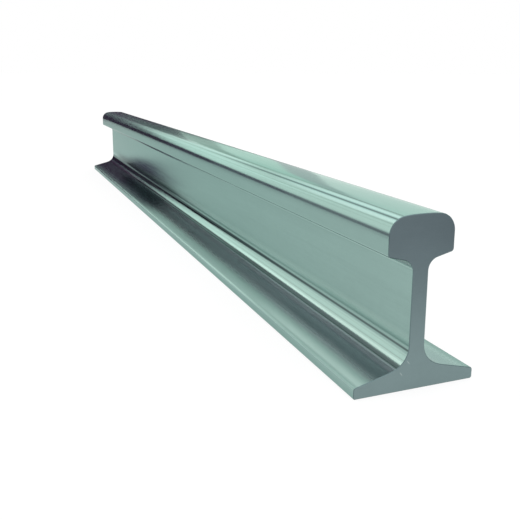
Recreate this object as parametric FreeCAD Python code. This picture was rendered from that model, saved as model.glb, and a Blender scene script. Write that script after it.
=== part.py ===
"""A cut length of flat-bottom railway rail, rolled in one piece from steel.

The rail lies on its foot along X, centred on the origin, with +Z up through
the middle of the web. Its section is one closed outline in the Y-Z plane,
the same on both sides of the web, and the rail is that outline run straight
from one saw cut to the other. All sizes are in millimetres.
"""

import math
import os

import FreeCAD
import Part

# The whole rail
LENGTH = 1500.0
HEIGHT = 161.0

# Head: a flat middle arc, a rounder shoulder on each side and a tight corner
HEAD_WIDTH = 67.0
CROWN_RADIUS = 300.0
CROWN_HALF_SPAN = 10.0
SHOULDER_RADIUS = 80.0
GAUGE_CORNER_RADIUS = 17.0
HEAD_SIDE_DEPTH = 36.0
HEAD_LOWER_CORNER_RADIUS = 3.0
HEAD_UNDERSIDE_SLOPE = 1 / 4

# Web
WEB_THICKNESS = 16.0
HEAD_FILLET_RADIUS = 12.0
FOOT_FILLET_RADIUS = 22.0

# Foot: a shallow slope from the toe, and a steeper one beside the web
FOOT_WIDTH = 125.0
TOE_THICKNESS = 10.5
TOE_SLOPE = 1 / 4
ROOT_SLOPE = 1 / 2.75
SLOPE_BREAK_HALF_SPAN = 27.0
SLOPE_BREAK_RADIUS = 40.0
TOE_TOP_RADIUS = 3.0
TOE_BOTTOM_RADIUS = 2.0


def point(y, z):
    """A point of the section, in the plane X = 0."""
    return FreeCAD.Vector(0, y, z)


def arc(centre, radius, start, end):
    """The shorter arc about a centre, between the directions of two points."""
    middle = (start - centre).normalize() + (end - centre).normalize()
    return Part.Arc(start, centre + middle.normalize() * radius, end).toShape()


def crown_edges():
    """The top of the head from its middle to the head's side, and where it ends.

    Each arc is tangent to the one before it, and the last one to the side.
    """
    side_y = HEAD_WIDTH / 2
    crown_centre = point(0, HEIGHT - CROWN_RADIUS)
    lean = math.asin(CROWN_HALF_SPAN / CROWN_RADIUS)
    towards_break = point(math.sin(lean), math.cos(lean))
    crown_end = crown_centre + towards_break * CROWN_RADIUS

    shoulder_centre = crown_centre + towards_break * (CROWN_RADIUS - SHOULDER_RADIUS)
    corner_y = side_y - GAUGE_CORNER_RADIUS
    reach = SHOULDER_RADIUS - GAUGE_CORNER_RADIUS
    rise = math.sqrt(reach**2 - (corner_y - shoulder_centre.y) ** 2)
    corner_centre = point(corner_y, shoulder_centre.z + rise)
    towards_corner = (corner_centre - shoulder_centre).normalize()
    shoulder_end = shoulder_centre + towards_corner * SHOULDER_RADIUS
    corner_end = point(side_y, corner_centre.z)

    edges = [
        arc(crown_centre, CROWN_RADIUS, point(0, HEIGHT), crown_end),
        arc(shoulder_centre, SHOULDER_RADIUS, crown_end, shoulder_end),
        arc(corner_centre, GAUGE_CORNER_RADIUS, shoulder_end, corner_end),
    ]
    return edges, corner_end


def side_corners():
    """The sharp corners down one side of the section, each with its radius."""
    side_y = HEAD_WIDTH / 2
    web_y = WEB_THICKNESS / 2
    toe_y = FOOT_WIDTH / 2
    underside_z = HEIGHT - HEAD_SIDE_DEPTH
    break_z = TOE_THICKNESS + (toe_y - SLOPE_BREAK_HALF_SPAN) * TOE_SLOPE
    head_root_z = underside_z - (side_y - web_y) * HEAD_UNDERSIDE_SLOPE
    foot_root_z = break_z + (SLOPE_BREAK_HALF_SPAN - web_y) * ROOT_SLOPE
    return [
        (point(side_y, underside_z), HEAD_LOWER_CORNER_RADIUS),
        (point(web_y, head_root_z), HEAD_FILLET_RADIUS),
        (point(web_y, foot_root_z), FOOT_FILLET_RADIUS),
        (point(SLOPE_BREAK_HALF_SPAN, break_z), SLOPE_BREAK_RADIUS),
        (point(toe_y, TOE_THICKNESS), TOE_TOP_RADIUS),
        (point(toe_y, 0), TOE_BOTTOM_RADIUS),
    ]


def rounded_path(start, corners, end):
    """Straight edges from start to end by way of the corners, each one rounded."""
    edges = []
    last = start
    stops = [start, *(corner for corner, _ in corners), end]
    for before, (corner, radius), after in zip(stops, corners, stops[2:]):
        back = (before - corner).normalize()
        ahead = (after - corner).normalize()
        half_angle = back.getAngle(ahead) / 2
        setback = radius / math.tan(half_angle)
        centre = corner + (back + ahead).normalize() * (radius / math.sin(half_angle))
        arc_start = corner + back * setback
        arc_end = corner + ahead * setback
        edges.append(Part.LineSegment(last, arc_start).toShape())
        edges.append(arc(centre, radius, arc_start, arc_end))
        last = arc_end
    edges.append(Part.LineSegment(last, end).toShape())
    return edges


def section():
    """The rail's section as a face, mirrored about the middle of the web."""
    head_edges, side_top = crown_edges()
    half = head_edges + rounded_path(side_top, side_corners(), point(0, 0))
    other_half = [edge.mirror(point(0, 0), FreeCAD.Vector(0, 1, 0)) for edge in half]
    outline = Part.Wire(Part.__sortEdges__(half + other_half))
    return Part.Face(outline)


def rail():
    """The rail, centred along X, standing on the underside of its foot."""
    face = section()
    face.translate(FreeCAD.Vector(-LENGTH / 2, 0, 0))
    return face.extrude(FreeCAD.Vector(LENGTH, 0, 0)).removeSplitter()


def main():
    """Writes the rail as its one node."""
    os.makedirs("parts", exist_ok=True)
    rail().exportStep("parts/rail.step")


main()
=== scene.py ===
"""Dresses a cut length of flat-bottom rail as clean rolled steel and lights it in a plain studio.

The rail lies along X on a pale floor with its running surface up. Its length,
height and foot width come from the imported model. The section's other sizes are
fields of RailSection in millimetres, and the mesh is built in metres.
"""

import logging
import math
from collections.abc import Iterator
from dataclasses import dataclass, fields, replace
from enum import Enum, auto

import bpy
from mathutils import Matrix, Vector


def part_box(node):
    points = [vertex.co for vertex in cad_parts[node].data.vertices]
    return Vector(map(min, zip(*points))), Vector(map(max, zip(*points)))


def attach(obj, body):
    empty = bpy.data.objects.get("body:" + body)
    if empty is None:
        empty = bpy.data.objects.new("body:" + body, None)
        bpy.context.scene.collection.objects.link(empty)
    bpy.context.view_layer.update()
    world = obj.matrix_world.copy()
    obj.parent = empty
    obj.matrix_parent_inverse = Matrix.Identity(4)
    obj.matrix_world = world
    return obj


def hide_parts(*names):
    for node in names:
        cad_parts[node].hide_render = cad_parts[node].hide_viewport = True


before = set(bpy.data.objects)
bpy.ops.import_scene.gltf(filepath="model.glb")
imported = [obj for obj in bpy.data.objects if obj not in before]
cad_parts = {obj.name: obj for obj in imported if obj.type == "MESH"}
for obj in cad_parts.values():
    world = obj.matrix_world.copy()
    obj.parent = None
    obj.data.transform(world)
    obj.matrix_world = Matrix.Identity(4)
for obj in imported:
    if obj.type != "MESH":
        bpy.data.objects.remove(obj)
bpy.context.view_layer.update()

NODE = "rail"
MM = 0.001

log = logging.getLogger("rail")

Pair = tuple[float, float]
Point = tuple[float, float, float]
Colour = tuple[float, float, float, float]
Socket = bpy.types.NodeSocket
Source = Socket | float | Point | Colour


def linear(hex_colour: str) -> Colour:
    """The linear colour of an sRGB colour that is written as six hex digits."""
    channels = (int(hex_colour[index:index + 2], 16) / 255 for index in (0, 2, 4))
    return (*(c / 12.92 if c <= 0.04045 else ((c + 0.055) / 1.055) ** 2.4 for c in channels), 1.0)


def blend_between(low: float, high: float, value: float) -> float:
    """A smooth step from 0 at low to 1 at high."""
    share = min(1.0, max(0.0, (value - low) / (high - low)))
    return share * share * (3 - 2 * share)


def rectangle(low: Pair, high: Pair) -> tuple[Pair, ...]:
    """The four corners of a rectangle, in order round it."""
    return low, (high[0], low[1]), high, (low[0], high[1])


class Skin(Enum):
    """The finishes of the rail's surface, in the order of the mesh's material slots."""

    ROLLED = 0
    SAWN = 1
    EDGE = 2


class Reach(Enum):
    """The stretches of the section's outline, from the crown down to the foot's underside."""

    CROWN = auto()
    SHOULDER = auto()
    GAUGE_CORNER = auto()
    HEAD_SIDE = auto()
    HEAD_LOWER_CORNER = auto()
    HEAD_UNDERSIDE = auto()
    HEAD_FILLET = auto()
    WEB = auto()
    FOOT_FILLET = auto()
    FOOT_ROOT = auto()
    SLOPE_BREAK = auto()
    FOOT_TOP = auto()
    TOE_TOP = auto()
    TOE_SIDE = auto()
    TOE_BOTTOM = auto()
    UNDERSIDE = auto()


UNDER_HEAD = (Reach.HEAD_UNDERSIDE, Reach.HEAD_FILLET)
FOOT_SLOPES = (Reach.FOOT_ROOT, Reach.SLOPE_BREAK, Reach.FOOT_TOP)


@dataclass(frozen=True)
class OutlinePoint:
    """A point of the section's outline in millimetres, with its outward normal.

    The painted shade is above 0 in a rolling line, where a dark line is painted into the colour.
    """

    y: float
    z: float
    ny: float
    nz: float
    reach: Reach
    painted_shade: float = 0.0

    @property
    def lean(self) -> float:
        """The angle of the normal from straight up, in degrees."""
        return math.degrees(math.atan2(abs(self.ny), self.nz))


@dataclass(frozen=True)
class RollingLine:
    """A fine lengthwise groove that the rolls leave on a rounded part of the section, darkened by painted
    shade.
    """

    reach: Reach
    lean: float
    half_width: float
    depth: float
    painted_darkness: float


@dataclass
class RailSection:
    """The rolled section, as one closed outline in the Y-Z plane, in millimetres."""

    height: float
    foot_width: float
    head_width: float = 67.0
    crown_radius: float = 300.0
    crown_half_span: float = 10.0
    shoulder_radius: float = 80.0
    gauge_corner_radius: float = 17.0
    head_side_depth: float = 36.0
    head_lower_corner_radius: float = 3.0
    head_underside_slope: float = 1 / 4
    web_thickness: float = 16.0
    head_fillet_radius: float = 12.0
    foot_fillet_radius: float = 22.0
    toe_thickness: float = 10.5
    toe_slope: float = 1 / 4
    root_slope: float = 1 / 2.75
    slope_break_half_span: float = 27.0
    slope_break_radius: float = 40.0
    toe_top_radius: float = 3.0
    toe_bottom_radius: float = 2.0
    arc_step: float = 5.0
    fine_arc_step: float = 1.0
    fewest_arc_steps: int = 4
    flat_step: float = 3.0
    # Each line's last number is its painted darkness: shade painted into the colour along the groove.
    lines: tuple[RollingLine, ...] = (
        RollingLine(Reach.GAUGE_CORNER, 10.5, 1.0, 0.06, 0.6),
        RollingLine(Reach.GAUGE_CORNER, 32.5, 1.5, 0.1, 0.85),
        RollingLine(Reach.GAUGE_CORNER, 52.5, 1.0, 0.05, 0.25),
        RollingLine(Reach.GAUGE_CORNER, 62.0, 0.5, 0.03, 0.12),
        RollingLine(Reach.FOOT_FILLET, 64.0, 0.5, 0.03, 0.15),
        RollingLine(Reach.FOOT_FILLET, 52.0, 0.9, 0.08, 0.4),
    )

    def arc(self, centre: Pair, radius: float, start: float, end: float, reach: Reach) -> list[OutlinePoint]:
        """Points along an arc of the outline, both ends included.

        Args:
            centre: The arc's centre.
            radius: Its radius.
            start: The direction of its first point from the centre, in radians from +Y towards +Z.
            end: The direction of its last point.
            reach: The stretch of the outline that the arc makes.

        Returns:
            The points, with normals that point out of the steel.
        """
        fine = reach in {line.reach for line in self.lines}
        step = math.radians(self.fine_arc_step if fine else self.arc_step)
        count = max(self.fewest_arc_steps, math.ceil(abs(end - start) / step))
        outward = 1.0 if end < start else -1.0
        points = []
        for index in range(count + 1):
            angle = start + (end - start) * index / count
            y, z = math.cos(angle), math.sin(angle)
            points.append(OutlinePoint(
                centre[0] + radius * y, centre[1] + radius * z, outward * y, outward * z, reach,
            ))
        return points

    def flat(self, start: OutlinePoint, end: Vector, reach: Reach) -> list[OutlinePoint]:
        """Points inside a straight stretch of the outline, with neither end.

        Args:
            start: The point before the stretch.
            end: The point after it.
            reach: The stretch's name.

        Returns:
            Evenly spaced points that share one normal.
        """
        run = end - Vector((start.y, start.z))
        count = max(1, round(run.length / self.flat_step))
        normal = Vector((-run.y, run.x)).normalized()
        return [
            OutlinePoint(
                start.y + run.x * index / count, start.z + run.y * index / count, normal.x, normal.y, reach,
            )
            for index in range(1, count)
        ]

    def crown(self) -> list[OutlinePoint]:
        """The top of the head, from its middle to the head's side at +Y.

        Returns:
            The points of three arcs, each tangent to the one before it.
        """
        lean = math.asin(self.crown_half_span / self.crown_radius)
        reach = self.crown_radius - self.shoulder_radius
        shoulder = (reach * math.sin(lean), self.height - self.crown_radius + reach * math.cos(lean))
        corner_y = self.head_width / 2 - self.gauge_corner_radius
        run = self.shoulder_radius - self.gauge_corner_radius
        tilt = math.asin((corner_y - shoulder[0]) / run)
        corner = (corner_y, shoulder[1] + run * math.cos(tilt))
        middle = (0.0, self.height - self.crown_radius)
        up = math.pi / 2
        return [
            *self.arc(middle, self.crown_radius, up, up - lean, Reach.CROWN),
            *self.arc(shoulder, self.shoulder_radius, up - lean, up - tilt, Reach.SHOULDER)[1:],
            *self.arc(corner, self.gauge_corner_radius, up - tilt, 0.0, Reach.GAUGE_CORNER)[1:],
        ]

    def corners(self) -> list[tuple[Vector, float, Reach]]:
        """The corners from the head's side down to the foot's underside, before they are rounded.

        Returns:
            Each corner's place, its radius and its name.
        """
        side_y, web_y, toe_y = self.head_width / 2, self.web_thickness / 2, self.foot_width / 2
        under_z = self.height - self.head_side_depth
        break_z = self.toe_thickness + (toe_y - self.slope_break_half_span) * self.toe_slope
        head_root_z = under_z - (side_y - web_y) * self.head_underside_slope
        foot_root_z = break_z + (self.slope_break_half_span - web_y) * self.root_slope
        return [
            (Vector((side_y, under_z)), self.head_lower_corner_radius, Reach.HEAD_LOWER_CORNER),
            (Vector((web_y, head_root_z)), self.head_fillet_radius, Reach.HEAD_FILLET),
            (Vector((web_y, foot_root_z)), self.foot_fillet_radius, Reach.FOOT_FILLET),
            (Vector((self.slope_break_half_span, break_z)), self.slope_break_radius, Reach.SLOPE_BREAK),
            (Vector((toe_y, self.toe_thickness)), self.toe_top_radius, Reach.TOE_TOP),
            (Vector((toe_y, 0.0)), self.toe_bottom_radius, Reach.TOE_BOTTOM),
        ]

    def side(self, start: OutlinePoint) -> list[OutlinePoint]:
        """The outline from the end of the crown to the middle of the foot's underside.

        Args:
            start: The last point of the crown.

        Returns:
            The points after start, with each corner as an arc.
        """
        corners = self.corners()
        flats = (
            Reach.HEAD_SIDE, Reach.HEAD_UNDERSIDE, Reach.WEB, Reach.FOOT_ROOT,
            Reach.FOOT_TOP, Reach.TOE_SIDE, Reach.UNDERSIDE,
        )
        stops = [Vector((start.y, start.z)), *(place for place, _, _ in corners), Vector((0.0, 0.0))]
        points = [start]
        for before, (corner, radius, reach), after, flat in zip(stops, corners, stops[2:], flats):
            back, ahead = (before - corner).normalized(), (after - corner).normalized()
            half_angle = back.angle(ahead) / 2
            centre = corner + (back + ahead).normalized() * (radius / math.sin(half_angle))
            setback = radius / math.tan(half_angle)
            first, last = corner + back * setback, corner + ahead * setback
            points.extend(self.flat(points[-1], first, flat))
            start_angle = math.atan2(first.y - centre.y, first.x - centre.x)
            end_angle = math.atan2(last.y - centre.y, last.x - centre.x)
            turn = (end_angle - start_angle + math.pi) % (2 * math.pi) - math.pi
            points.extend(self.arc((centre.x, centre.y), radius, start_angle, start_angle + turn, reach))
        points.extend(self.flat(points[-1], stops[-1], flats[-1]))
        points.append(OutlinePoint(0.0, 0.0, 0.0, -1.0, Reach.UNDERSIDE))
        return points[1:]

    def grooved_with_painted_shade(self, point: OutlinePoint) -> OutlinePoint:
        """Sinks a point into the rolling line that it lies in, and turns its normal with the line's wall.

        Args:
            point: A point on the plain section at +Y.

        Returns:
            The point with the painted shade of its line set.
        """
        radii = {Reach.GAUGE_CORNER: self.gauge_corner_radius, Reach.FOOT_FILLET: self.foot_fillet_radius}
        for line in self.lines:
            if line.reach is not point.reach:
                continue
            offset = math.radians(point.lean - line.lean) * radii[line.reach] / line.half_width
            if abs(offset) >= 1:
                continue
            sink = line.depth * math.cos(math.pi / 2 * offset) ** 2
            slope = -line.depth * math.pi / (2 * line.half_width) * math.sin(math.pi * offset)
            down = 1.0 if line.reach is Reach.GAUGE_CORNER else -1.0
            tangent = Vector((point.nz, -point.ny)) * down
            normal = (Vector((point.ny, point.nz)) + tangent * slope).normalized()
            return replace(
                point, y=point.y - point.ny * sink, z=point.z - point.nz * sink,
                ny=normal.x, nz=normal.y, painted_shade=line.painted_darkness * (1 - abs(offset)),
            )
        return point

    def outline(self) -> list[OutlinePoint]:
        """The whole closed outline.

        Returns:
            Its points, each once, clockwise from the middle of the crown.
        """
        plain = self.crown()
        plain += self.side(plain[-1])
        half = [self.grooved_with_painted_shade(point) for point in plain]
        mirrored = [replace(point, y=-point.y, ny=-point.ny) for point in reversed(half[1:-1])]
        return half + mirrored


@dataclass(frozen=True)
class WearAndPaintedLight:
    """The finish and the painted light and shade at one point of the rail, as masks from 0 to 1.

    The painted shade is dark shade painted into the colour: the rolling lines and the soft
    bands and patches where the steel lies in shade or reflects dark surroundings. The film is
    thin oxide, the scale is mill scale and painted shade, the painted highlight is a lighter
    colour painted where the steel reflects bright light, and the matt is steel that handling
    has dulled.
    """

    painted_shade: float
    film: float
    scale: float
    painted_highlight: float
    matt: float


MASKS = tuple(mask.name for mask in fields(WearAndPaintedLight))


@dataclass(frozen=True)
class Ramp:
    """A smooth change from nothing to an amount, between a first and a last value."""

    first: float
    last: float
    amount: float = 1.0

    def at(self, value: float) -> float:
        """How much has changed at a value."""
        return self.amount * blend_between(self.first, self.last, value)


@dataclass(frozen=True)
class Band:
    """A soft band of the section between two leans of its normal, in degrees."""

    start: float
    end: float
    fade: float
    amount: float = 1.0

    def at(self, lean: float) -> float:
        """How strong the band is at a lean."""
        begun = blend_between(self.start - self.fade, self.start + self.fade, lean)
        return self.amount * begun * (1 - blend_between(self.end - self.fade, self.end + self.fade, lean))


@dataclass(frozen=True)
class WearAndPaintedLightMap:
    """The finish and the painted light and shade around the section at one place along the rail.

    X is that place, in millimetres from the rail's middle. A ramp goes by it, by the lean of the
    normal in degrees, or by the height on the web. Margins are distances past the slope break
    and before the toe. The hidden side is the one at +Y.
    """

    break_half_span: float
    toe_half_span: float
    x: float
    line_fade: Ramp = Ramp(560, 100, 0.75)
    scale_and_shade_growth: Ramp = Ramp(60, -190)
    far_end: Ramp = Ramp(-300, -500)
    near_half: Ramp = Ramp(0, 400)

    film_margins: Pair = (9.0, 11.0)
    film_thinning: Ramp = Ramp(22, 30)
    film_top: Ramp = Ramp(36, 41)
    film_rise: float = 3.0
    hidden_film: float = 0.1
    underside_film: float = 0.5

    # Heavy scale and painted shade: a dark colour on the foot's slopes and fillet, heaviest towards the far
    # end and on the seen side.
    scale_and_shade_margins: Pair = (12.0, 2.0)
    scale_and_shade_toe_loss: float = 0.35
    scale_and_shade_top: Ramp = Ramp(39, 44)
    scale_and_shade_far_drop: float = 11.0
    hidden_scale_and_shade: float = 0.3

    # Painted shade: the head's side darker towards the far end, shade under the head, a patch at the web's
    # foot and bands on the foot's fillet.
    head_side_shade: Ramp = Ramp(-150, -750, 0.32)
    under_head_start: Ramp = Ramp(0, -300)
    under_head_loss: Ramp = Ramp(-500, -700, 0.3)
    lower_corner_shade: Ramp = Ramp(95, 110, 0.45)
    underside_shade: float = 0.25
    far_underside_shade: Ramp = Ramp(-420, -560, 0.55)
    head_fillet_shade: Band = Band(100, 126, 5, 0.8)

    patch_start: Ramp = Ramp(60, -170)
    patch_end: Ramp = Ramp(-590, -730)
    patch_on_web: Ramp = Ramp(62, 44, 0.85)
    patch_on_fillet: Ramp = Ramp(60, 75)
    patch_shade: float = 0.85
    patch_deepening: float = 0.12
    patch_deep_lean: Ramp = Ramp(87, 80)
    patch_deep_place: Ramp = Ramp(-250, -400)

    upper_band: Band = Band(75.5, 80.5, 1.5, 0.7)
    upper_drops: tuple[Ramp, ...] = (Ramp(750, 0, 10), Ramp(50, -350, 12))
    upper_rise: float = 8.0
    upper_gain: Ramp = Ramp(700, 300, 0.25)
    upper_loss: float = 0.15
    lower_band: Band = Band(27, 38.5, 2.5, 0.85)
    lower_gain: Ramp = Ramp(250, -100, 0.12)
    lower_loss: float = 0.7

    # Painted highlight: lighter bands on the gauge corner, under the head, on the foot's fillet, the web's
    # foot, the foot's outer top and the toe.
    corner_highlight: tuple[Band, ...] = (Band(13.5, 26, 2, 0.17), Band(39, 48, 2, 0.1))
    lower_corner_highlight: float = 0.1
    lower_corner_gains: tuple[Ramp, ...] = (Ramp(-50, 150, 0.1), Ramp(450, 700, 0.14))
    lower_corner_lean: Ramp = Ramp(98, 110)
    lower_corner_start: Ramp = Ramp(-200, 0)
    under_head_highlight: tuple[Band | Ramp, ...] = (Band(103, 119, 4, 0.3), Ramp(116, 126, 0.75))
    fillet_highlight: tuple[Band | Ramp, ...] = (
        Band(40, 48, 1.5, 0.22),
        Band(20, 26, 1, 0.1),
        Ramp(83, 86, 0.15),
    )
    fillet_sheen: Band = Band(56, 71, 2, 0.05)
    web_highlight: Ramp = Ramp(54, 42, 0.5)
    outer_strip: Pair = (16.0, 6.0)
    outer_highlight: float = 0.12
    outer_gain: Ramp = Ramp(480, 620, 0.22)
    hidden_foot_highlight: float = 0.28
    hidden_outer_loss: float = 0.7
    toe_highlight: float = 0.05
    toe_gain: Ramp = Ramp(600, 350, 0.1)

    matt_margins: Pair = (10.0, 6.0)
    matt_fade: Ramp = Ramp(660, 420, 0.5)
    matt_scale_loss: float = 0.3
    matt_end: Ramp = Ramp(50, 75)
    under_head_matt: Ramp = Ramp(112, 126, 0.6)

    @property
    def lines_left(self) -> float:
        """How much of the fine lines is left here."""
        return 1 - self.line_fade.at(self.x)

    @property
    def grown(self) -> float:
        """How far the change to heavy scale and painted shade has come here."""
        return self.scale_and_shade_growth.at(self.x)

    @property
    def patch(self) -> float:
        """How far the dark patch at the foot of the web, painted shade for the reflected floor shadow, has
        come here.
        """
        return self.patch_start.at(self.x) * (1 - self.patch_end.at(self.x))

    def across_foot(self, p: OutlinePoint, margins: Pair) -> float:
        """How far across the foot's top a point is, from one margin to the other."""
        first, last = self.break_half_span + margins[0], self.toe_half_span - margins[1]
        return blend_between(first, last, abs(p.y))

    def film(self, p: OutlinePoint) -> float:
        """How much of the thin oxide film covers a point.

        Args:
            p: The point.

        Returns:
            A mask from 0 to 1.
        """
        share = self.hidden_film if p.y > 0 else 1.0
        if p.reach in FOOT_SLOPES:
            return share * (1 - self.across_foot(p, self.film_margins))
        if p.reach is Reach.FOOT_FILLET:
            left = 1 - self.film_thinning.at(p.lean) * (1 - self.grown)
            return share * left * (1 - self.film_top.at(p.lean - self.film_rise * self.grown))
        return self.underside_film if p.reach is Reach.UNDERSIDE else 0.0

    def scale(self, p: OutlinePoint) -> float:
        """How much of the heavy scale and painted shade covers a point: a dark colour on the foot, heaviest
        towards the far end, that paints the shade and dark reflections there.

        Args:
            p: The point.

        Returns:
            A mask from 0 to 1.
        """
        share = self.grown * (self.hidden_scale_and_shade if p.y > 0 else 1.0)
        if p.reach in FOOT_SLOPES:
            return share * (1 - self.scale_and_shade_toe_loss * self.across_foot(p, self.scale_and_shade_margins))
        if p.reach is Reach.FOOT_FILLET:
            return share * (1 - self.scale_and_shade_top.at(p.lean + self.scale_and_shade_far_drop * self.far_end.at(self.x)))
        return 0.0

    def fillet_shade(self, lean: float) -> float:
        """How dark the painted shade of the two bands and the patch on the foot's fillet is.

        Args:
            lean: The lean of the fillet's normal.

        Returns:
            A mask from 0 to 1.
        """
        x, upper, lower = self.x, self.upper_band, self.lower_band
        upper_shade = replace(
            upper,
            start=upper.start - sum(drop.at(x) for drop in self.upper_drops),
            end=upper.end + self.upper_rise * self.grown,
            amount=upper.amount + self.upper_gain.at(x) - self.upper_loss * self.grown,
        ).at(lean)
        change = self.lower_gain.at(x) - self.lower_loss * self.far_end.at(x)
        lower_shade = replace(lower, amount=lower.amount + change).at(lean)
        deep = max(self.patch_deep_lean.at(lean), self.patch_deep_place.at(x))
        shade = self.patch_shade + self.patch_deepening * deep
        return max(upper_shade, shade * self.patch * self.patch_on_fillet.at(lean), lower_shade)

    def shade(self, p: OutlinePoint) -> float:
        """How dark the painted shade is at a point, in soft bands and patches along the fillets, under the
        head and on the head's side.

        Args:
            p: The point.

        Returns:
            A mask from 0 to 1.
        """
        # Painted shade under the head, from the middle towards the far end.
        under = self.under_head_start.at(self.x) * (1 - self.under_head_loss.at(self.x))
        if p.reach is Reach.HEAD_SIDE:
            return self.head_side_shade.at(self.x)
        if p.reach is Reach.HEAD_LOWER_CORNER:
            return under * self.lower_corner_shade.at(p.lean)
        if p.reach is Reach.HEAD_UNDERSIDE:
            return under * self.underside_shade + self.far_underside_shade.at(self.x)
        if p.reach is Reach.HEAD_FILLET:
            return under * self.head_fillet_shade.at(p.lean)
        if p.reach is Reach.WEB:
            return self.patch * self.patch_on_web.at(p.z)
        return self.fillet_shade(p.lean) if p.reach is Reach.FOOT_FILLET else 0.0

    def painted_highlight(self, p: OutlinePoint) -> float:
        """How strong the painted highlight is at a point of the rail: a lighter colour painted where the
        steel reflects bright light.

        Args:
            p: The point.

        Returns:
            A mask from 0 to 1.
        """
        x, fade = self.x, self.lines_left
        if p.reach is Reach.GAUGE_CORNER:
            return fade * max(line.at(p.lean) for line in self.corner_highlight)
        if p.reach is Reach.HEAD_LOWER_CORNER:
            rub = self.lower_corner_highlight + sum(gain.at(x) for gain in self.lower_corner_gains)
            return rub * self.lower_corner_lean.at(p.lean) * self.lower_corner_start.at(x)
        if p.reach in UNDER_HEAD:
            return self.near_half.at(x) * max(line.at(p.lean) for line in self.under_head_highlight)
        if p.reach is Reach.FOOT_FILLET:
            return max(fade * max(line.at(p.lean) for line in self.fillet_highlight), self.fillet_sheen.at(p.lean))
        if p.reach is Reach.WEB:
            return self.web_highlight.at(p.z) * (1 - self.patch)
        inner, outer = (self.toe_half_span - distance for distance in self.outer_strip)
        on_strip = blend_between(inner, outer, abs(p.y))
        if p.y > 0 and p.reach in FOOT_SLOPES:
            return self.hidden_foot_highlight * (1 - self.hidden_outer_loss * on_strip) * self.near_half.at(x)
        if p.reach is Reach.FOOT_TOP:
            return on_strip * (self.outer_highlight * fade + self.outer_gain.at(x))
        return self.toe_highlight + self.toe_gain.at(x) if p.reach is Reach.TOE_TOP else 0.0

    def matt(self, p: OutlinePoint) -> float:
        """How much handling has dulled a point of the rail.

        Args:
            p: The point.

        Returns:
            A mask from 0 to 1.
        """
        if p.reach in UNDER_HEAD:
            return self.near_half.at(self.x) * self.under_head_matt.at(p.lean)
        if p.reach not in (Reach.FOOT_TOP, Reach.TOE_TOP):
            return 0.0
        left = 1 - self.matt_fade.at(self.x) - self.matt_scale_loss * self.grown
        return left * self.across_foot(p, self.matt_margins) * (1 - self.matt_end.at(p.lean))

    def at(self, p: OutlinePoint) -> WearAndPaintedLight:
        """The finish at a point of the outline."""
        painted_shade = max(p.painted_shade * self.lines_left, self.shade(p))
        return WearAndPaintedLight(painted_shade, self.film(p), self.scale(p), self.painted_highlight(p), self.matt(p))


@dataclass
class RolledRail:
    """The rail as one mesh: the section swept along X, with a small edge break at each saw cut."""

    section: RailSection
    length: float
    edge_break: float = 0.6
    station_step: float = 50.0

    def stations(self) -> list[Pair]:
        """The places of the section's rings.

        Returns:
            Each ring's X, and how far the outline is set in there.
        """
        half = self.length / 2
        inner_half = half - self.edge_break
        count = round(2 * inner_half / self.station_step)
        inner = [(-inner_half + 2 * inner_half * index / count, 0.0) for index in range(count + 1)]
        return [(-half, self.edge_break), *inner, (half, self.edge_break)]

    def faces(self, ring: int, rows: int) -> Iterator[tuple[tuple[int, ...], Skin]]:
        """The faces between the rings and across both ends.

        Args:
            ring: How many points a ring has.
            rows: How many rings there are.

        Yields:
            Each face's vertices, in order, and its finish.
        """
        for row in range(rows - 1):
            skin = Skin.EDGE if row in (0, rows - 2) else Skin.ROLLED
            here, there = row * ring, (row + 1) * ring
            for column in range(ring):
                beside = (column + 1) % ring
                yield (here + column, there + column, there + beside, here + beside), skin
        yield tuple(range(ring)), Skin.SAWN
        yield tuple((rows - 1) * ring + index for index in reversed(range(ring))), Skin.SAWN

    def mesh(self) -> bpy.types.Mesh:
        """Builds the mesh in metres, with smooth sides, flat ends and the masks of finish and painted light
        and shade.

        Returns:
            A closed mesh whose faces name their finish by material index.
        """
        outline = self.section.outline()
        stations = self.stations()
        ring, rows = len(outline), len(stations)
        vertices = [
            (x * MM, (p.y - p.ny * inset) * MM, (p.z - p.nz * inset) * MM)
            for x, inset in stations
            for p in outline
        ]
        faces, skins = zip(*self.faces(ring, rows))
        normals = []
        for corners, skin in zip(faces, skins):
            end = 1.0 if max(corners) >= ring * (rows - 1) else -1.0
            for vertex in corners:
                p = outline[vertex % ring]
                across = 0.0 if skin is Skin.SAWN else 1.0
                along = 0.0 if skin is Skin.ROLLED else end
                normals.append(Vector((along, across * p.ny, across * p.nz)).normalized())

        mesh = bpy.data.meshes.new("rail_body")
        mesh.from_pydata(vertices, [], faces)
        mesh.polygons.foreach_set("material_index", [skin.value for skin in skins])
        mesh.polygons.foreach_set("use_smooth", [True] * len(faces))
        spans = self.section.slope_break_half_span, self.section.foot_width / 2
        wear_and_light_maps = [WearAndPaintedLightMap(*spans, x) for x, _ in stations]
        wear_and_light = [wear_and_light_map.at(p) for wear_and_light_map in wear_and_light_maps for p in outline]
        for name in MASKS:
            mask = mesh.attributes.new(name, "FLOAT", "POINT")
            mask.data.foreach_set("value", [getattr(point_wear_and_light, name) for point_wear_and_light in wear_and_light])
        mesh.normals_split_custom_set(normals)
        return mesh

    def build(self, materials: dict[Skin, bpy.types.Material]) -> bpy.types.Object:
        """Makes the rail's object, dresses it and puts it on the CAD body.

        Args:
            materials: The material of each finish.

        Returns:
            The object that stands for the CAD node.
        """
        piece = bpy.data.objects.new("rail_body", self.mesh())
        bpy.context.scene.collection.objects.link(piece)
        for skin in Skin:
            piece.data.materials.append(materials[skin])
        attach(piece, "root")
        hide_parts("rail")
        return piece


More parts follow.
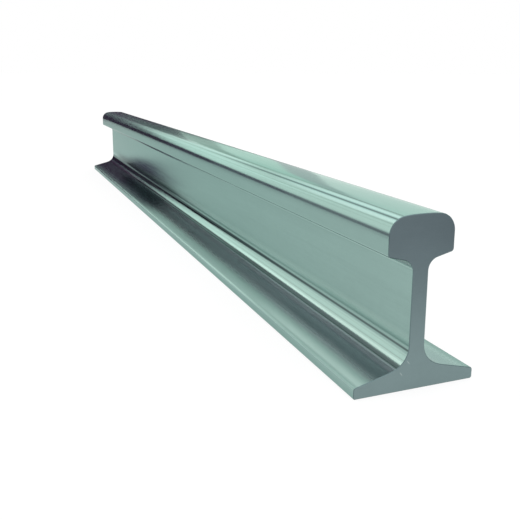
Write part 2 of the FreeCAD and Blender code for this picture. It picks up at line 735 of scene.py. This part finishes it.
class NodeSheet:
    """A node tree with short calls to add nodes, do sums and join them."""

    def __init__(self, tree: bpy.types.NodeTree) -> None:
        """Keeps the tree that the calls add to."""
        self.tree = tree

    def feed(self, source: Source, target: Socket) -> None:
        """Links a socket to an input, or sets the input to a plain value.

        Args:
            source: The socket or the value.
            target: The input.
        """
        if isinstance(source, Socket):
            self.tree.links.new(source, target)
        else:
            target.default_value = source

    def add(
        self, kind: str, inputs: dict[int | str, Source] | None = None, **settings: object,
    ) -> bpy.types.Node:
        """Adds a node, sets its properties and feeds its inputs.

        Args:
            kind: The node's type, without the leading ShaderNode.
            inputs: What goes into its inputs, by number or by name.
            settings: Its properties, by name.

        Returns:
            The new node.
        """
        node = self.tree.nodes.new(f"ShaderNode{kind}")
        for name, value in settings.items():
            setattr(node, name, value)
        for slot, source in (inputs or {}).items():
            self.feed(source, node.inputs[slot])
        return node

    def math(self, operation: str, *values: Socket | float) -> Socket:
        """Adds a Math node and gives its result."""
        return self.add("Math", dict(enumerate(values)), operation=operation).outputs[0]

    def vector(self, operation: str, *values: Socket | Point) -> bpy.types.Node:
        """Adds a Vector Math node."""
        return self.add("VectorMath", dict(enumerate(values)), operation=operation)

    def weigh(self, first: Socket, second: Socket, share: float) -> Socket:
        """Adds two values, the first by its share and the second by the rest."""
        return self.math("ADD", self.math("MULTIPLY", first, share), self.math("MULTIPLY", second, 1 - share))

    def remap(
        self, value: Socket, low: float, high: float, to_low: float = 0.0, to_high: float = 1.0,
    ) -> Socket:
        """Changes a value's range smoothly, and holds it at both ends."""
        span = {"Value": value, "From Min": low, "From Max": high, "To Min": to_low, "To Max": to_high}
        return self.add("MapRange", span, interpolation_type="SMOOTHSTEP").outputs["Result"]

    def mix_colour(
        self, share: Socket | float, first: Socket | Colour, second: Socket | Colour, blend: str = "MIX",
    ) -> Socket:
        """Lays a share of the second colour over the first."""
        layers = {0: share, 6: first, 7: second}
        return self.add("Mix", layers, data_type="RGBA", blend_type=blend).outputs[2]

    def noise(
        self, place: Socket, stretch: Socket | Point,
        scale: float = 1.0, detail: float = 2.0, roughness: float = 0.5,
    ) -> Socket:
        """Noise at a place that is scaled by axis first.

        Args:
            place: The surface point in metres.
            stretch: The scale of each axis; a small one draws the pattern out along that axis.
            scale: The noise's own scale.
            detail: Its octaves.
            roughness: The weight of the finer octaves.

        Returns:
            The noise's value.
        """
        scaled = self.vector("MULTIPLY", place, stretch).outputs[0]
        look = {"Vector": scaled, "Scale": scale, "Detail": detail, "Roughness": roughness}
        return self.add("TexNoise", look).outputs["Fac"]


class GroupKind(Enum):
    """The socket types that the effect groups use."""

    VALUE = "NodeSocketFloat"
    VECTOR = "NodeSocketVector"


def effect_group(
    name: str, inputs: dict[str, GroupKind], outputs: dict[str, GroupKind],
) -> tuple[NodeSheet, bpy.types.Node, bpy.types.Node]:
    """Starts a shader node group with named sockets.

    Args:
        name: The group's name.
        inputs: The kinds of its inputs, by name.
        outputs: The kinds of its outputs, by name.

    Returns:
        A sheet on the group's tree, and its input and output nodes.
    """
    tree = bpy.data.node_groups.new(name, "ShaderNodeTree")
    for in_out, sockets in (("INPUT", inputs), ("OUTPUT", outputs)):
        for label, kind in sockets.items():
            tree.interface.new_socket(name=label, in_out=in_out, socket_type=kind.value)
    return NodeSheet(tree), tree.nodes.new("NodeGroupInput"), tree.nodes.new("NodeGroupOutput")


MOTTLE_SPAN = (0.3, 0.7)


def drawn_grain() -> bpy.types.NodeTree:
    """Fine grain drawn out along one axis, as rolls or a saw leave it.

    Returns:
        A group that puts out a mask about 0.5 and a height.
    """
    sheet, given, result = effect_group(
        "drawn_grain",
        {"Place": GroupKind.VECTOR, "Stretch": GroupKind.VECTOR},
        {"Streak": GroupKind.VALUE, "Height": GroupKind.VALUE},
    )
    place, stretch = given.outputs["Place"], given.outputs["Stretch"]
    broad = sheet.noise(place, stretch, scale=60.0)
    fine = sheet.noise(place, stretch, scale=420.0, detail=3.0, roughness=0.6)
    both = sheet.weigh(broad, fine, share=0.6)
    sheet.feed(sheet.remap(both, low=0.35, high=0.65), result.inputs["Streak"])
    sheet.feed(fine, result.inputs["Height"])
    return sheet.tree


def scale_and_shade_patches() -> bpy.types.NodeTree:
    """Patches of mill scale and painted shade, with soft borders.

    Returns:
        A group that puts out how much scale covers each point, and the mottle that breaks it up.
    """
    sheet, given, result = effect_group(
        "scale_and_shade_patches",
        {"Place": GroupKind.VECTOR, "Amount": GroupKind.VALUE},
        {"Cover": GroupKind.VALUE, "Mottle": GroupKind.VALUE},
    )
    place, amount = given.outputs["Place"], given.outputs["Amount"]
    clouds = sheet.noise(place, stretch=(4.0, 14.0, 14.0), detail=4.0)
    specks = sheet.noise(place, stretch=(90.0, 160.0, 160.0))
    mottle = sheet.weigh(clouds, specks, share=0.7)
    uneven = sheet.remap(mottle, *MOTTLE_SPAN, to_low=0.9)
    sheet.feed(sheet.math("MULTIPLY", amount, uneven), result.inputs["Cover"])
    sheet.feed(mottle, result.inputs["Mottle"])
    return sheet.tree


@dataclass(frozen=True)
class Scratch:
    """A short straight scratch on the end faces, in millimetres and degrees."""

    y: float
    z: float
    length: float
    width: float
    lean: float


@dataclass(frozen=True)
class SteelFinish:
    """A bare steel finish: its colours, with the painted highlight and painted shade, its gloss and its
    grain.
    """

    name: str
    colour: str
    roughness: float
    stretch: Point
    grazing_tint: Colour = (0.564, 0.67, 0.65, 1.0)
    film_colour: str = "b1a9b5"
    # Painted shade: the dark colour of the heavy scale, laid where the foot lies in shade.
    scale_and_shade_colour: str = "33213b"
    full_scale_and_shade: float = 0.95
    # Painted highlight: the lighter colour laid where the steel should look brightly lit.
    painted_highlight_colour: str = "e0f4ee"
    # Painted shade: the colour of the dark painted lines, bands and patches.
    painted_shade_colour: str = "23262b"
    # Painted shade: some finishes darken towards the top, where less light bounces up from the floor.
    painted_top_shade_colour: str | None = None
    painted_top_shade_span: Pair = (0.01, 0.15)
    streak_tint: float = 0.028
    streak_roughness: float = 0.02
    mottle_tint: float = 0.03
    scale_roughness: float = 0.04
    matt_roughness: float = 0.48
    painted_shade_gloss: float = 0.05
    worn_and_painted_light: bool = True
    relief: float = 0.02
    relief_depth: float = 0.001
    scratches: tuple[Scratch, ...] = ()
    scratch_colour: str = "c2cfcd"
    scratch_share: float = 0.55
    scratch_core: float = 0.4

    def scratch_mask(self, sheet: NodeSheet, place: Socket) -> Socket | float:
        """Where the scratches are, as a mask.

        Args:
            sheet: The material's sheet.
            place: The surface point in metres.

        Returns:
            A socket that is 1 in a scratch, or 0 where the finish has none.
        """
        mask: Socket | float = 0.0
        endless = 1000.0
        for scratch in self.scratches:
            mapping = sheet.add("Mapping", {
                "Vector": place,
                "Location": (0.0, scratch.y * MM, scratch.z * MM),
                "Rotation": (math.radians(scratch.lean), 0.0, 0.0),
                "Scale": (endless, scratch.length / 2 * MM, scratch.width / 2 * MM),
            }, vector_type="TEXTURE")
            distance = sheet.vector("LENGTH", mapping.outputs[0]).outputs["Value"]
            mask = sheet.math("ADD", mask, sheet.remap(distance, 1.0, self.scratch_core))
        return mask

    def bare(self, sheet: NodeSheet, place: Socket, streak: Socket) -> Socket:
        """The colour of the bare steel.

        Args:
            sheet: The material's sheet.
            place: The surface point in metres.
            streak: The grain's mask.

        Returns:
            A colour that varies a little with the grain and, in some finishes, darkens towards the top as
            painted shade.
        """
        steel = linear(self.colour)[:3]
        darker, lighter = (
            tuple(channel * (1 + swing) for channel in steel) + (1.0,)
            for swing in (-self.streak_tint, self.streak_tint)
        )
        colour = sheet.mix_colour(streak, darker, lighter)
        if self.painted_top_shade_colour is None:
            return colour
        height = sheet.add("SeparateXYZ", {0: place}).outputs["Z"]
        top_shade_share = sheet.remap(height, *self.painted_top_shade_span)
        return sheet.mix_colour(top_shade_share, colour, linear(self.painted_top_shade_colour))

    def lay_finish_and_painted_light(
        self, sheet: NodeSheet, scale: bpy.types.Node, colour: Socket, roughness: Socket,
    ) -> tuple[Socket, Socket]:
        """Lays the mesh's masks of finish and painted light and shade over the steel.

        Args:
            sheet: The material's sheet.
            scale: The group node of the scale and painted shade patches.
            colour: The steel's colour.
            roughness: The steel's roughness.

        Returns:
            The colour and the roughness with the masks laid over them.
        """
        painted_shade, oxide, amount, painted_highlight, matt = (
            sheet.add("Attribute", attribute_name=name).outputs["Fac"] for name in MASKS
        )
        sheet.feed(amount, scale.inputs["Amount"])
        cover = scale.outputs["Cover"]
        # The painted highlight and the painted shade lay painted light and shade over the colour here.
        for share, over in (
            (oxide, self.film_colour),
            (sheet.remap(cover, 0.0, self.full_scale_and_shade), self.scale_and_shade_colour),
            (painted_highlight, self.painted_highlight_colour),
            (painted_shade, self.painted_shade_colour),
        ):
            colour = sheet.mix_colour(share, colour, linear(over))
        for operation, mask, change in (
            ("ADD", cover, self.scale_roughness),
            ("ADD", matt, self.matt_roughness),
            ("SUBTRACT", painted_shade, self.painted_shade_gloss),
        ):
            roughness = sheet.math(operation, roughness, sheet.math("MULTIPLY", mask, change))
        return colour, roughness

    def material(self, grain: bpy.types.NodeTree, film: bpy.types.NodeTree) -> bpy.types.Material:
        """Builds the finish as a node material.

        Args:
            grain: The drawn grain group.
            film: The group of the scale and painted shade patches.

        Returns:
            The material.
        """
        material = bpy.data.materials.new(self.name)
        material.use_nodes = True
        sheet = NodeSheet(material.node_tree)
        shader = material.node_tree.nodes["Principled BSDF"]
        place = sheet.add("TexCoord").outputs["Object"]
        streaks = sheet.add("Group", {"Place": place, "Stretch": self.stretch}, node_tree=grain)
        streak = streaks.outputs["Streak"]
        scale = sheet.add("Group", {"Place": place, "Amount": 0.0}, node_tree=film)

        colour = self.bare(sheet, place, streak)
        mottle = scale.outputs["Mottle"]
        shade = sheet.remap(mottle, *MOTTLE_SPAN, 1 - self.mottle_tint, 1 + self.mottle_tint)
        colour = sheet.mix_colour(1.0, colour, shade, "MULTIPLY")
        swing = sheet.remap(streak, 0.0, 1.0, -self.streak_roughness, self.streak_roughness)
        roughness = sheet.math("ADD", swing, self.roughness)
        if self.worn_and_painted_light:
            colour, roughness = self.lay_finish_and_painted_light(sheet, scale, colour, roughness)
        if self.scratches:
            scratched = sheet.math("MULTIPLY", self.scratch_mask(sheet, place), self.scratch_share)
            colour = sheet.mix_colour(scratched, colour, linear(self.scratch_colour))
        sheet.feed(colour, shader.inputs["Base Color"])
        sheet.feed(roughness, shader.inputs["Roughness"])
        sheet.feed(1.0, shader.inputs["Metallic"])
        sheet.feed(self.grazing_tint, shader.inputs["Specular Tint"])

        height = streaks.outputs["Height"]
        bump = sheet.add("Bump", {"Strength": self.relief, "Distance": self.relief_depth, "Height": height})
        sheet.feed(bump.outputs[0], shader.inputs["Normal"])
        return material


def flat_panel(name: str, corners: tuple[Point, ...], finish: str) -> tuple[bpy.types.Object, NodeSheet]:
    """Makes a flat panel with an empty node material.

    Args:
        name: The panel's name.
        corners: Its corners, in order.
        finish: The material's name.

    Returns:
        The panel and a sheet on its material.
    """
    mesh = bpy.data.meshes.new(name)
    mesh.from_pydata(corners, [], [tuple(range(len(corners)))])
    panel = bpy.data.objects.new(name, mesh)
    bpy.context.scene.collection.objects.link(panel)
    material = bpy.data.materials.new(finish)
    material.use_nodes = True
    material.node_tree.nodes.clear()
    mesh.materials.append(material)
    return panel, NodeSheet(material.node_tree)


@dataclass(frozen=True)
class Card:
    """A flat panel that shows only in reflections.

    A bright card lights the steel and a dark one draws an edge. A soft one fades from its core
    out to its rim, which are distances from its middle by its own size.
    """

    name: str
    corners: tuple[Point, ...]
    colour: str
    strength: float = 1.0
    soft: bool = False
    rim: float = 0.5
    core: float = 0.15

    def faded(self, sheet: NodeSheet, surface: Socket) -> Socket:
        """Fades a surface out towards the card's rim.

        Args:
            sheet: The material's sheet.
            surface: The surface to fade.

        Returns:
            The faded surface.
        """
        place = sheet.add("TexCoord").outputs["Generated"]
        centred = sheet.vector("SUBTRACT", place, (0.5, 0.5, 0.0)).outputs[0]
        flat = sheet.vector("MULTIPLY", centred, (1.0, 1.0, 0.0)).outputs[0]
        distance = sheet.vector("LENGTH", flat).outputs["Value"]
        share = sheet.remap(distance, self.rim, self.core)
        clear = sheet.add("BsdfTransparent").outputs[0]
        return sheet.add("MixShader", {0: share, 1: clear, 2: surface}).outputs[0]

    def build(self) -> None:
        """Makes the panel, hidden from the camera and from diffuse light."""
        panel, sheet = flat_panel(self.name, self.corners, self.name)
        glow = sheet.add("Emission", {"Color": linear(self.colour), "Strength": self.strength}).outputs[0]
        sheet.add("OutputMaterial", {"Surface": self.faded(sheet, glow) if self.soft else glow})
        panel.visible_camera = False
        panel.visible_diffuse = False
        panel.visible_shadow = False


@dataclass(frozen=True)
class PhotoCamera:
    """The photograph's camera, in metres and degrees, for a frame 520 pixels square."""

    place: Point
    turn: float
    tilt: float
    roll: float
    focal_pixels: float
    centre_row: float
    frame_pixels: float = 520.0
    sensor_width: float = 36.0

    def build(self) -> None:
        """Makes the camera and sets it as the scene's."""
        data = bpy.data.cameras.new("photo_camera")
        data.sensor_width = self.sensor_width
        data.lens = self.focal_pixels / self.frame_pixels * data.sensor_width
        data.shift_y = (self.centre_row - self.frame_pixels / 2) / self.frame_pixels
        turn, tilt = math.radians(self.turn), math.radians(self.tilt)
        forward = Vector((-math.cos(turn) * math.cos(tilt), math.sin(turn) * math.cos(tilt), -math.sin(tilt)))
        right = Vector((math.sin(turn), math.cos(turn), 0.0))
        up = right.cross(forward)
        pose = Matrix((right, up, -forward)).transposed().to_4x4()
        camera = bpy.data.objects.new("photo_camera", data)
        roll = Matrix.Rotation(math.radians(self.roll), 4, "Z")
        camera.matrix_world = Matrix.Translation(self.place) @ pose @ roll
        bpy.context.scene.collection.objects.link(camera)
        bpy.context.scene.camera = camera


@dataclass
class Studio:
    """The floor, the surround, the lamp and the cards, in metres.

    A front flag's top is its place along the rail, its height and the colour of the flag that
    starts there. A sky span is its two sides, its level and its colour. A painted floor shadow is
    its middle and half its size: a dark sheet on the floor, seen only in reflections, that stands
    in for the rail's shadow beside the foot.
    """

    floor_half: float = 40.0
    floor_paint: float = 0.82
    floor_glow: float = 1.05
    floor_share: float = 0.8
    flag_colour: str = "543f56"
    painted_shadow_colour: str = "4a2058"
    sky_colour: str = "fffffb"
    front_flag_y: float = -0.07
    front_flag_bottom: float = 0.127
    front_flag_tops: tuple[tuple[float, float, str], ...] = (
        (0.85, 0.1395, "a6a0aa"),
        (0.45, 0.1455, "8a808f"),
        (0.15, 0.152, "69576d"),
        (-0.15, 0.162, "543f56"),
        (-1.2, 0.188, "543f56"),
    )
    back_flag: tuple[Point, ...] = (
        (0.85, 0.1, 0.115), (-1.2, 0.1, 0.115), (-1.2, 0.1, 0.222), (0.85, 0.1, 0.134),
    )
    wall_x: float = -2.85
    end_flags: tuple[tuple[str, tuple[Pair, ...]], ...] = (
        ("543a57", (
            (-1.5, 0.0), (-1.25, 0.25), (-0.8, 0.45), (-0.62, 0.6),
            (-0.38, 0.75), (0.0, 0.79), (0.42, 0.79), (0.42, 0.0),
        )),
        ("4a5056", ((0.42, 0.0), (0.42, 0.82), (0.66, 0.74), (0.76, 0.56), (0.77, 0.0))),
    )
    window: tuple[Pair, ...] = rectangle((-1.0, 1.75), (1.4, 4.5))
    window_colour: str = "ffffff"
    window_level: float = 1.75
    sill: tuple[Pair, ...] = rectangle((-1.0, 1.38), (1.4, 1.75))
    sill_level: float = 1.3
    sky_x: float = -3.0
    sky_bottom: float = 0.25
    sky_top: float = 4.0
    sky_spans: tuple[tuple[float, float, float, str], ...] = (
        (-3.2, -1.3, 1.5, "fffffb"),
        (-1.3, 0.78, 1.9, "fffffb"),
        (0.78, 1.05, 0.85, "ecfff5"),
        (1.05, 1.5, 1.35, "ecfff5"),
        (1.8, 3.2, 1.55, "fffffb"),
    )
    # Painted shadow: dark sheets on the floor beside the far part of the foot, seen only in reflections, that
    # stand in for the rail's shadow there.
    painted_floor_shadows: tuple[tuple[Pair, Pair], ...] = (
        ((-0.79, -0.111), (0.27, 0.044)),
        ((-0.65, -0.096), (0.38, 0.03)),
    )
    painted_shadow_height: float = 0.001
    painted_shadow_step: float = 0.0005
    lamp_place: Point = (0.9, 0.0, 2.6)
    lamp_size: float = 3.2
    lamp_power: float = 26.0

    def wall(self, name: str, x: float, shape: tuple[Pair, ...], colour: str, level: float = 1.0) -> Card:
        """An upright card across the rail, from its outline in Y and Z."""
        return Card(name, tuple((x, y, z) for y, z in shape), colour, level)

    def cards(self) -> Iterator[Card]:
        """The panels that shape the reflections.

        Yields:
            Each panel.
        """
        side, bottom = self.front_flag_y, self.front_flag_bottom
        for index, (near, far) in enumerate(zip(self.front_flag_tops, self.front_flag_tops[1:])):
            (near_x, near_top, colour), (far_x, far_top, _) = near, far
            shape = ((near_x, bottom), (far_x, bottom), (far_x, far_top), (near_x, near_top))
            yield Card(f"front_flag_{index}", tuple((x, side, z) for x, z in shape), colour)
        yield Card("back_flag", self.back_flag, self.flag_colour)
        for index, (colour, shape) in enumerate(self.end_flags):
            yield self.wall(f"end_flag_{index}", self.wall_x, shape, colour)
        yield self.wall("window", self.wall_x, self.window, self.window_colour, self.window_level)
        yield self.wall("sill", self.wall_x, self.sill, self.sky_colour, self.sill_level)
        for index, ((x, y), (half_x, half_y)) in enumerate(self.painted_floor_shadows):
            height = self.painted_shadow_height + index * self.painted_shadow_step
            shape = rectangle((x - half_x, y - half_y), (x + half_x, y + half_y))
            corners = tuple((*corner, height) for corner in shape)
            yield Card(f"painted_floor_shadow_{index}", corners, self.painted_shadow_colour, soft=True)
        for index, (start, end, level, colour) in enumerate(self.sky_spans):
            shape = rectangle((start, self.sky_bottom), (end, self.sky_top))
            yield self.wall(f"sky_{index}", self.sky_x, shape, colour, level)

    def floor(self) -> None:
        """Makes the pale floor: white to the camera and to gloss, with part of the rail's shadow kept."""
        half = self.floor_half
        corners = tuple((x, y, 0.0) for x, y in rectangle((-half, -half), (half, half)))
        floor, sheet = flat_panel("floor", corners, "pale_floor")
        path = sheet.add("LightPath").outputs
        seen = sheet.math("MAXIMUM", path["Is Camera Ray"], path["Is Glossy Ray"])
        seen = sheet.math("MAXIMUM", seen, path["Is Transmission Ray"])
        paint = sheet.add("BsdfDiffuse", {"Color": (self.floor_paint,) * 3 + (1.0,)}).outputs[0]
        glow = sheet.add("Emission", {"Strength": self.floor_glow}).outputs[0]
        share = sheet.math("MULTIPLY", seen, self.floor_share)
        mix = sheet.add("MixShader", {0: share, 1: paint, 2: glow})
        sheet.add("OutputMaterial", {"Surface": mix.outputs[0]})

    def surround(self) -> None:
        """Makes the white surround, which is also the soft fill light."""
        world = bpy.data.worlds.new("studio")
        bpy.context.scene.world = world
        world.use_nodes = True
        world.node_tree.nodes["Background"].inputs["Color"].default_value = (1.0, 1.0, 1.0, 1.0)

    def build(self) -> None:
        """Makes the whole studio."""
        self.floor()
        self.surround()
        for card in self.cards():
            card.build()
        data = bpy.data.lights.new("overhead", "AREA")
        data.size = self.lamp_size
        data.energy = self.lamp_power
        lamp = bpy.data.objects.new("overhead", data)
        lamp.location = self.lamp_place
        lamp.visible_camera = False
        bpy.context.scene.collection.objects.link(lamp)


def main() -> None:
    """Builds the camera, the rail and the studio."""
    logging.basicConfig(level=logging.INFO, format="%(message)s")
    PhotoCamera(
        place=(1.2307, -0.3408, 0.28), turn=21.64, tilt=11.946, roll=0.264,
        focal_pixels=687.9, centre_row=215.0,
    ).build()
    low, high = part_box(NODE)
    size = (high - low) / MM
    grain, film = drawn_grain(), scale_and_shade_patches()
    finishes = {
        Skin.ROLLED: SteelFinish("rolled_steel", "8ea9a3", roughness=0.17, stretch=(0.03, 1.0, 1.0)),
        Skin.SAWN: SteelFinish(
            "sawn_steel", "809394", roughness=0.5, stretch=(1.0, 0.12, 1.0),
            # Painted shade: the sawn end darkens towards the top.
            painted_top_shade_colour="67757a", worn_and_painted_light=False, relief=0.08,
            scratches=(Scratch(-8.0, 26.5, 6.0, 0.9, -50.0), Scratch(-15.0, 16.5, 6.0, 1.0, -55.0)),
        ),
        Skin.EDGE: SteelFinish("broken_edge", "66797b", roughness=0.35, stretch=(1.0, 0.3, 0.3), worn_and_painted_light=False),
    }
    materials = {skin: finish.material(grain, film) for skin, finish in finishes.items()}
    rail = RolledRail(RailSection(height=size.z, foot_width=size.y), size.x).build(materials)
    log.info("%s: %d vertices, %d faces", rail.name, len(rail.data.vertices), len(rail.data.polygons))
    Studio().build()
    bpy.context.scene.view_settings.view_transform = "Standard"


if __name__ == "__main__":
    main()
